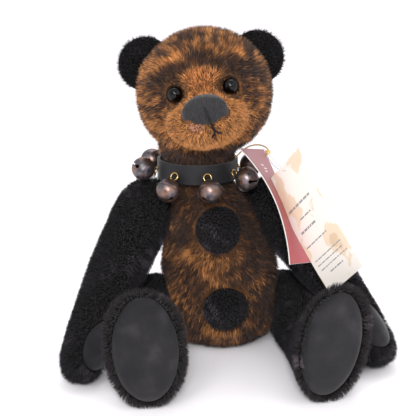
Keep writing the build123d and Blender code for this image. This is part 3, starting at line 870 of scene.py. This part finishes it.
def suede_material():
    """Worn black suede, scuffed lighter in places."""
    made = material("pad_suede", (0.008, 0.0085, 0.0095), 0.9, Sheen_Weight=0.2, Specular_IOR_Level=0.25)
    scuffs = object_noise(made, 70, 7)
    colours_by(made, scuffs, [(0.36, (0.0044, 0.0042, 0.0052)), (0.55, (0.0085, 0.0080, 0.0096)),
                              (0.72, (0.0210, 0.0198, 0.0230))])
    bumped(made, object_noise(made, 1300, 6), 0.0003)
    return made


def make_hardware(thread):
    """The finished materials of the CAD pieces that stay as they are."""
    copper = bell_material()
    steel = material("pellet_steel", (0.35, 0.35, 0.36), 0.4, 1.0)
    brass = material("ring_brass", (0.62, 0.42, 0.16), 0.25, 1.0)
    glass = material("eye_glass", (0.0012, 0.001, 0.001), 0.02, Specular_IOR_Level=0.25)
    finishes = [
        (strap_material(), ["collar_strap"]),
        (brass, ["collar_stud", "bell_rings"]),
        (glass, EYES),
        (thread, ["nose_stitching"]),
        (copper, BELLS),
        (steel, [f"bell_pellet_{k}" for k in range(1, 9)]),
        (steel, ["joint_bolts", "joint_nuts", "joint_washers"]),
        (board_material(), DISCS),
        (MATERIALS["plush_cloth"], ["ear_right", "ear_left", *PATCHES]),
        (MATERIALS["plush_cloth"], [f"foot_insole_{side}" for side in SIDES]),
    ]
    for made, names in finishes:
        for name in names:
            paint_cad(name, made)


# ---- tags ----
CORD_ROUTE = [(0.0095, -0.0110, 0.1315), (0.0135, -0.0120, 0.1365), (0.0195, -0.0135, 0.1405),
              (0.0260, -0.0160, 0.1415), (0.0310, -0.0200, 0.1395), (0.0302, -0.0218, 0.1359),
              (0.0265, -0.0192, 0.1327)]
CORD_R = 0.0005
KNOT_SIZE = 0.75 * MM


def route_curve(name, route, radius):
    """A smooth cord along a route of control points."""
    curve = bpy.data.curves.new(name, "CURVE")
    curve.dimensions = "3D"
    curve.bevel_depth = radius
    curve.bevel_resolution = 4
    curve.resolution_u = 12
    curve.use_fill_caps = True
    spline = curve.splines.new("NURBS")
    spline.points.add(len(route) - 1)
    for point, place in zip(spline.points, route):
        point.co = (*place, 1)
    spline.order_u = 3
    spline.use_endpoint_u = True
    return curve


def make_cord():
    gold = material("cord_gold", (0.48, 0.30, 0.09), 0.38, 0.35, Sheen_Weight=0.3)
    cord = bpy.data.objects.new("tag_cord_gold", route_curve("tag_cord_gold", CORD_ROUTE, CORD_R))
    cord.data.materials.append(gold)
    bpy.context.scene.collection.objects.link(cord)
    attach(cord, "torso")
    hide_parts("tag_cord")


def plate_frame(name):
    """A thin plate's middle, its across, up and facing directions, and its width and height."""
    mesh = frame["nodes"][name].data
    shape = bmesh.new()
    shape.from_mesh(mesh)
    edges = [e for e in shape.edges if e.is_boundary or e.calc_face_angle(0) > 0.5]
    longest = max(edges, key=lambda e: e.calc_length())
    up = unit(np.array(longest.verts[1].co - longest.verts[0].co))
    facing = np.array(max(shape.faces, key=lambda f: f.calc_area()).normal)
    shape.free()
    up = up if up[2] > 0 else -up
    facing = facing if facing[1] < 0 else -facing
    across = np.cross(up, facing)
    places = vertex_places(mesh)
    spans = [places @ way for way in (across, up, facing)]
    centre = sum(way * (span.min() + span.max()) / 2 for way, span in zip((across, up, facing), spans))
    return centre, across, up, facing, np.ptp(spans[0]), np.ptp(spans[1])


def page_place(plate, bend, x, y, lift):
    """A point on a bent page, from its share across and up, -0.5 to 0.5."""
    centre, across, up, facing, width, height = plate
    return centre + across * (x * width) + up * (y * height) + facing * (bend(x, y) + lift)


def page_mesh(plate, bend, lift, thick, low=(-0.5, -0.5), high=(0.5, 0.5), columns=12, rows=36):
    """A page, or a printed bar on one: a thin slab that follows the plate's bend."""
    xs, ys = np.linspace(low[0], high[0], columns + 1), np.linspace(low[1], high[1], rows + 1)
    lifts = (lift - thick / 2, lift + thick / 2)
    verts = [page_place(plate, bend, x, y, level) for level in lifts for y in ys for x in xs]
    stride, layer = columns + 1, (columns + 1) * (rows + 1)
    faces = []

    def corner(i, j, side):
        return side * layer + j * stride + i

    for j in range(rows):
        for i in range(columns):
            around = [(i, j), (i + 1, j), (i + 1, j + 1), (i, j + 1)]
            faces.append([corner(*place, 1) for place in around])
            faces.append([corner(*place, 0) for place in around[:1] + around[:0:-1]])
    rim = [(i, 0) for i in range(columns)] + [(columns, j) for j in range(rows)]
    rim += [(i, rows) for i in range(columns, 0, -1)] + [(0, j) for j in range(rows, 0, -1)]
    for a, b in zip(rim, rim[1:] + rim[:1]):
        faces.append([corner(*a, 0), corner(*b, 0), corner(*b, 1), corner(*a, 1)])
    mesh = bpy.data.meshes.new("page")
    mesh.from_pydata([tuple(v) for v in verts], [], faces)
    layer_uv = mesh.uv_layers.new(name="page")
    for loop in mesh.loops:
        k = loop.vertex_index % layer
        layer_uv.data[loop.index].uv = (xs[k % stride] + 0.5, ys[k // stride] + 0.5)
    return mesh


def joined_meshes(meshes):
    shape = bmesh.new()
    for mesh in meshes:
        shape.from_mesh(mesh)
    out = bpy.data.meshes.new("joined")
    shape.to_mesh(out)
    shape.free()
    return out


def page_share(made, axis):
    """How far across (0) or up (1) a page a point is."""
    place = node(made, "ShaderNodeUVMap", uv_map="page")
    split = node(made, "ShaderNodeSeparateXYZ")
    wire(made, place.outputs["UV"], split, "Vector")
    return split.outputs[axis]


# ---- the booklet ----
def booklet_bend(x, y):
    """The booklet bows out in the middle, most along its left edge."""
    return (0.0085 * (0.5 - x) + 0.0004) * (1 - 4 * y * y)


PAGE_GAP = 0.42 * MM
PAGE_THICK = 0.26 * MM
MARK_THICK = 0.04 * MM
# Each pale mark's height up the page, and its two ends across it.
BOOKLET_MARKS = [(0.33, -0.12, 0.02), (0.30, -0.06, 0.10), (0.27, -0.10, 0.04),
                 (-0.30, 0.22, 0.40), (-0.33, 0.18, 0.36)]


def make_booklet():
    plate = plate_frame("tag_booklet")
    cover = material("booklet_cover", (0.42, 0.11, 0.12), 0.42, Specular_IOR_Level=0.4)
    height = page_share(cover, 1)
    colours_by(cover, height, [(0.02, (0.42, 0.095, 0.105)), (0.40, (0.33, 0.075, 0.085)),
                               (0.70, (0.30, 0.115, 0.125)), (0.98, (0.38, 0.20, 0.215))])
    paper = material("booklet_paper", (0.80, 0.77, 0.74), 0.7)
    colours_by(paper, object_noise(paper, 300), [(0.3, (0.76, 0.73, 0.70)), (0.7, (0.84, 0.81, 0.78))])
    ink = material("booklet_marks", (0.78, 0.62, 0.58), 0.5)
    front = page_mesh(plate, booklet_bend, PAGE_GAP, PAGE_THICK)
    add_piece("booklet_front", front, "tag_booklet", cover, ["tag_booklet"])
    inner = [page_mesh(plate, booklet_bend, 0, PAGE_THICK, (-0.515, -0.495), (0.49, 0.495)),
             page_mesh(plate, booklet_bend, -PAGE_GAP, PAGE_THICK, (-0.51, -0.5), (0.5, 0.5))]
    add_piece("booklet_leaves", joined_meshes(inner), "tag_booklet", paper)
    lift = PAGE_GAP + PAGE_THICK / 2 + MARK_THICK
    marks = []
    for y, left, right in BOOKLET_MARKS:
        marks.append(page_mesh(plate, booklet_bend, lift, MARK_THICK, (left, y), (right, y + 0.012), 4, 1))
    add_piece("booklet_marks", joined_meshes(marks), "tag_booklet", ink)


# ---- the card and its loop ----
CARD_THICK = 0.6 * MM
# Each row of plain bars: its height up the card, its two ends across it, and how high its bars are.
CARD_ROWS = [(0.17, -0.40, 0.26, 0.017), (0.07, -0.22, 0.14, 0.012), (-0.02, -0.36, 0.10, 0.017),
             (-0.13, -0.42, 0.20, 0.010), (-0.25, -0.40, 0.40, 0.008), (-0.29, -0.40, 0.36, 0.008),
             (-0.33, -0.38, 0.40, 0.008), (-0.38, -0.20, 0.18, 0.010)]
LOOP_SPREAD = 1.6 * MM
LOOP_R = 0.32 * MM


def card_bend(x, y):
    """The card bows gently along its length."""
    return 0.0020 * (1 - 4 * y * y) + 0.0008 * x


def card_bars(plate):
    """Rows of short plain bars, where the real card is printed."""
    rng = np.random.default_rng(9)
    bars = []
    for y, left, end, high in CARD_ROWS:
        while left < end - 0.03:
            right = min(end, left + rng.uniform(0.04, 0.13))
            bars.append(page_mesh(plate, card_bend, CARD_THICK / 2 + MARK_THICK, MARK_THICK, (left, y),
                                  (right, y + high), 3, 1))
            left = right + 0.02
    return joined_meshes(bars)


def make_card():
    plate = plate_frame("tag_card")
    paper = material("card_paper", (0.93, 0.88, 0.80), 0.6, Specular_IOR_Level=0.35)
    cream, beige, tan = (0.82, 0.775, 0.71), (0.76, 0.62, 0.47), (0.66, 0.49, 0.34)
    stains = object_noise(paper, 34, 4)
    colours_by(paper, stains, [(0.36, tan), (0.40, beige), (0.46, beige), (0.475, cream)])
    bumped(paper, object_noise(paper, 500, 4), 0.00006)
    sheet = page_mesh(plate, card_bend, 0, CARD_THICK)
    add_piece("card_sheet", sheet, "tag_card", paper, ["tag_card"])
    grey = material("card_bars", (0.30, 0.29, 0.29), 0.6)
    add_piece("card_bars", card_bars(plate), "tag_card", grey)
    loop = loop_path(np.array(CORD_ROUTE[5]), page_place(plate, card_bend, 0, 0.44, 0), LOOP_SPREAD)
    clear = material("loop_plastic", (0.9, 0.9, 0.9), 0.12, Transmission_Weight=0.85, IOR=1.46)
    add_piece("tag_loop", tube_mesh([loop], LOOP_R, 8), "tag_card", clear)


def loop_path(start, end, spread):
    """A long narrow closed loop between two points."""
    along = end - start
    wide = unit(np.cross(along, DOWN)) * spread
    sag = DOWN * 2.5 * MM
    path = []
    for turn in np.linspace(0, 2 * math.pi, 49):
        out = start + along * (1 - math.cos(turn)) / 2
        path.append(out + wide * math.sin(turn) + sag * math.sin(turn) ** 2)
    return path


def make_knot():
    """The overhand knot that gathers the cord in front of the booklet's hole."""
    centre = np.array(CORD_ROUTE[4]) * 0.4 + np.array(CORD_ROUTE[5]) * 0.6
    size = np.array([0.7, 0.7, 1.0]) * KNOT_SIZE
    path = []
    for turn in np.linspace(0, 2 * math.pi, 61):
        x = math.sin(turn) + 2 * math.sin(2 * turn)
        y = math.cos(turn) - 2 * math.cos(2 * turn)
        z = -1.4 * math.sin(3 * turn)
        path.append(centre + size * np.array([x, y, z]))
    gold = bpy.data.materials["cord_gold"]
    add_piece("cord_knot", tube_mesh([path], CORD_R * 0.95, 8), "torso", gold)


# ---- surroundings, in metres ----
FLOOR_R = 1.2
SWEEP_R = 0.8
AIM = Vector((-0.008, 0, 0.094))
VIEW_TURN = math.radians(-5)
VIEW_RISE = math.radians(14.5)
VIEW_AWAY = 0.78
LENS = 97.2
# Each light's name, place, size and power.
LIGHTS = [
    ("key", (-0.45, -1.1, 1.0), 0.35, 5),
    ("glint", (-0.10, -0.9, 0.50), 0.13, 4.5),
    ("fill", (1.0, -0.9, 0.8), 1.2, 3),
    ("top", (0.1, 0.5, 1.3), 0.9, 5),
]


def make_stage():
    """A pale round floor that sweeps up all round."""
    spokes = 96
    profile = [(FLOOR_R / 2, 0.0)]
    for turn in np.linspace(0, math.pi / 2, 18):
        profile.append((FLOOR_R + SWEEP_R * math.sin(turn), SWEEP_R * (1 - math.cos(turn))))
    verts = [(0.0, 0.0, 0.0)]
    for radius, height in profile:
        for turn in np.linspace(0, 2 * math.pi, spokes, endpoint=False):
            verts.append((radius * math.cos(turn), radius * math.sin(turn), height))
    faces = []
    for spoke in range(spokes):
        after = (spoke + 1) % spokes
        faces.append((0, 1 + spoke, 1 + after))
        for ring in range(len(profile) - 1):
            low, high = 1 + ring * spokes, 1 + (ring + 1) * spokes
            faces.append((low + spoke, high + spoke, high + after, low + after))
    mesh = bpy.data.meshes.new("sweep")
    mesh.from_pydata(verts, [], faces)
    mesh.shade_smooth()
    floor = bpy.data.objects.new("sweep", mesh)
    bpy.context.scene.collection.objects.link(floor)
    mesh.materials.append(material("sweep_paper", (0.93, 0.905, 0.935), 0.9))


def make_light(name, place, size, power):
    """A square soft light that shines on the bear."""
    light = bpy.data.lights.new(name, "AREA")
    light.energy = power
    light.size = size
    lamp = bpy.data.objects.new(name, light)
    lamp.location = place
    lamp.rotation_euler = (AIM - Vector(place)).to_track_quat("-Z", "Y").to_euler()
    bpy.context.scene.collection.objects.link(lamp)


def make_view():
    """The camera, as far off as a long lens stands, a little to the bear's right and above it."""
    level = math.cos(VIEW_RISE)
    back = Vector((math.sin(VIEW_TURN) * level, -math.cos(VIEW_TURN) * level, math.sin(VIEW_RISE)))
    camera = bpy.data.cameras.new("camera")
    camera.lens = LENS
    camera.clip_end = 20
    seat = bpy.data.objects.new("camera", camera)
    seat.location = AIM + back * VIEW_AWAY
    seat.rotation_euler = (-back).to_track_quat("-Z", "Y").to_euler()
    bpy.context.scene.collection.objects.link(seat)
    bpy.context.scene.camera = seat
    bpy.context.scene.view_settings.view_transform = "Standard"


def make_room():
    """An evenly white room."""
    world = bpy.data.worlds.new("room")
    world.use_nodes = True
    world.node_tree.nodes["Background"].inputs["Color"].default_value = (1, 1, 1, 1)
    world.node_tree.nodes["Background"].inputs["Strength"].default_value = 0.95
    bpy.context.scene.world = world


nose_thread = thread_material()
make_hardware(nose_thread)
make_head()
make_torso()
make_patch("upper", 61)
make_patch("lower", 63)
pad_suede = suede_material()
for index, limb_side in enumerate(SIDES):
    make_arm(limb_side, 100 + 20 * index, pad_suede)
    make_leg(limb_side, 200 + 20 * index, pad_suede)
    make_ear(limb_side, 300 + 20 * index)
make_nose(nose_thread)
make_cord()
make_knot()
make_booklet()
make_card()
make_stage()
make_view()
for light in LIGHTS:
    make_light(*light)
make_room()
